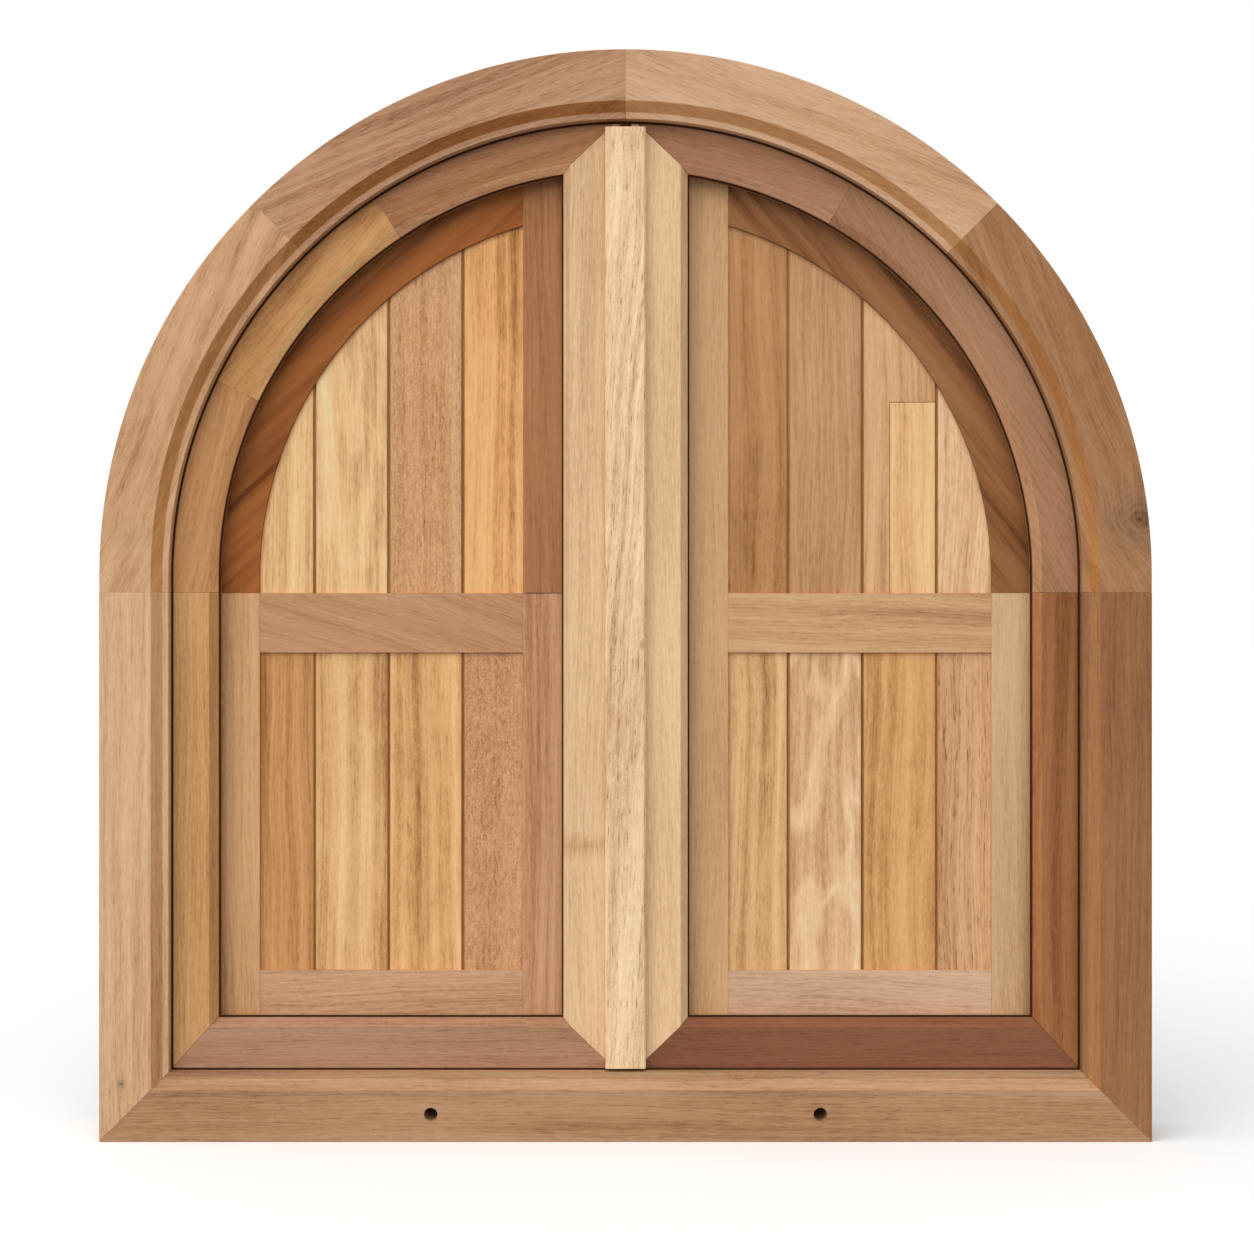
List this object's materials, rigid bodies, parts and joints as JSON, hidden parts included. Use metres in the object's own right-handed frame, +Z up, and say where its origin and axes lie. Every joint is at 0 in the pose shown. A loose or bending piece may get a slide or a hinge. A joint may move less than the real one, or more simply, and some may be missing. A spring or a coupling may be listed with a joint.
{
  "type": "arched window with inside shutters",
  "caption": "Round-arched timber casement window: mitred frame, a pair of glazed sashes with cover strips, and boarded inside shutters hung on the sashes.",
  "frame": {"origin": "centre of the sill's underside, at half the frame's depth", "axes": "+Z up, +Y into the room, +X to the right seen from outside"},
  "size_m": [1, 0.135, 1.038],
  "materials": {
    "pale_timber": "clear satin oil on pale tan hardwood",
    "tan_timber": "clear satin oil on tan hardwood",
    "golden_timber": "clear satin oil on golden hardwood",
    "rosy_timber": "clear satin oil on pinkish brown hardwood",
    "brown_timber": "clear satin oil on mid brown hardwood",
    "russet_timber": "clear satin oil on reddish brown hardwood",
    "clear_glass": "clear float glass",
    "brass": "aged satin brass",
    "iron": "blackened steel",
    "dark_rubber": "dark brown rubber seal"
  },
  "bodies": {
    "frame": {"sill": "tan_timber", "left_jamb": "pale_timber", "right_jamb": "brown_timber", "left_lower_arch": "tan_timber", "left_upper_arch": "rosy_timber", "right_upper_arch": "pale_timber", "right_lower_arch": "brown_timber", "frame_hinge_leaves": "iron", "frame_hinge_pins": "iron", "bolt_keeps": "brass"},
    "left_sash": {"left_sash_stile": "golden_timber", "left_sash_rail": "rosy_timber", "left_meeting_stile": "pale_timber", "left_sash_lower_arch": "golden_timber", "left_sash_middle_arch": "golden_timber", "left_sash_upper_arch": "rosy_timber", "left_glass": "clear_glass", "left_glazing_beads": "tan_timber", "left_sash_hinge_leaves": "iron", "left_shutter_hinge_seats": "iron", "left_shutter_hinge_pins": "iron", "left_button_screw": "brass", "inner_cover_strip": "pale_timber", "bolt_case": "brass", "bolt_guides": "brass"},
    "right_sash": {"right_sash_stile": "russet_timber", "right_sash_rail": "russet_timber", "right_meeting_stile": "pale_timber", "right_sash_lower_arch": "rosy_timber", "right_sash_upper_arch": "rosy_timber", "right_glass": "clear_glass", "right_glazing_beads": "tan_timber", "right_sash_hinge_leaves": "iron", "right_shutter_hinge_seats": "iron", "right_shutter_hinge_pins": "iron", "right_button_screw": "brass", "outer_cover_strip": "pale_timber"},
    "left_shutter": {"left_shutter_stile": "tan_timber", "left_shutter_meeting_stile": "brown_timber", "left_shutter_arch": "russet_timber", "left_shutter_middle_rail": "rosy_timber", "left_shutter_bottom_rail": "rosy_timber", "left_shutter_hinge_leaves": "iron", "left_shutter_pull": "brass", "left_upper_boards": "golden_timber", "left_lower_boards": "golden_timber"},
    "right_shutter": {"right_shutter_stile": "tan_timber", "right_shutter_meeting_stile": "tan_timber", "right_shutter_arch": "brown_timber", "right_shutter_middle_rail": "tan_timber", "right_shutter_bottom_rail": "pale_timber", "right_shutter_hinge_leaves": "iron", "right_shutter_pull": "brass", "right_upper_boards": "tan_timber", "right_lower_boards": "golden_timber"},
    "bolt_handle": {"bolt_handle": "brass"},
    "bolt_upper_rod": {"bolt_upper_rod": "brass"},
    "bolt_lower_rod": {"bolt_lower_rod": "brass"},
    "left_turn_button": {"left_turn_button": "brass"},
    "right_turn_button": {"right_turn_button": "brass"}
  },
  "joints": [
    {"name": "left_sash_swing", "type": "hinge", "parent": "frame", "child": "left_sash", "pos_m": [-0.4455, 0.041, 0.118], "axis": [0, 0, 1], "range_deg": [0, 95]},
    {"name": "right_sash_swing", "type": "hinge", "parent": "frame", "child": "right_sash", "pos_m": [0.4455, 0.041, 0.118], "axis": [0, 0, -1], "range_deg": [0, 76]},
    {"name": "left_shutter_swing", "type": "hinge", "parent": "left_sash", "child": "left_shutter", "pos_m": [-0.4125, 0.04, 0.208], "axis": [0, 0, 1], "range_deg": [0, 100]},
    {"name": "right_shutter_swing", "type": "hinge", "parent": "right_sash", "child": "right_shutter", "pos_m": [0.4125, 0.04, 0.208], "axis": [0, 0, -1], "range_deg": [0, 100]},
    {"name": "handle_turn", "type": "hinge", "parent": "left_sash", "child": "bolt_handle", "pos_m": [0, 0.066, 0.522], "axis": [0, 1, 0], "range_deg": [0, 90]},
    {"name": "upper_rod_slide", "type": "slide", "parent": "left_sash", "child": "bolt_upper_rod", "axis": [0, 0, 1], "range_m": [0, 0.018]},
    {"name": "lower_rod_slide", "type": "slide", "parent": "left_sash", "child": "bolt_lower_rod", "axis": [0, 0, -1], "range_m": [0, 0.018]},
    {"name": "left_button_turn", "type": "hinge", "parent": "left_sash", "child": "left_turn_button", "pos_m": [-0.02925, 0.0379, 0.3], "axis": [0, 1, 0], "range_deg": [0, 90]},
    {"name": "right_button_turn", "type": "hinge", "parent": "right_sash", "child": "right_turn_button", "pos_m": [0.02925, 0.0379, 0.3], "axis": [0, -1, 0], "range_deg": [0, 90]}
  ],
  "couplings": [
    {"joint": "right_sash_swing", "follows": "left_sash_swing", "ratio": 0.8},
    {"joint": "upper_rod_slide", "follows": "handle_turn", "m_per_rad": 0.011459},
    {"joint": "lower_rod_slide", "follows": "handle_turn", "m_per_rad": 0.011459}
  ]
}
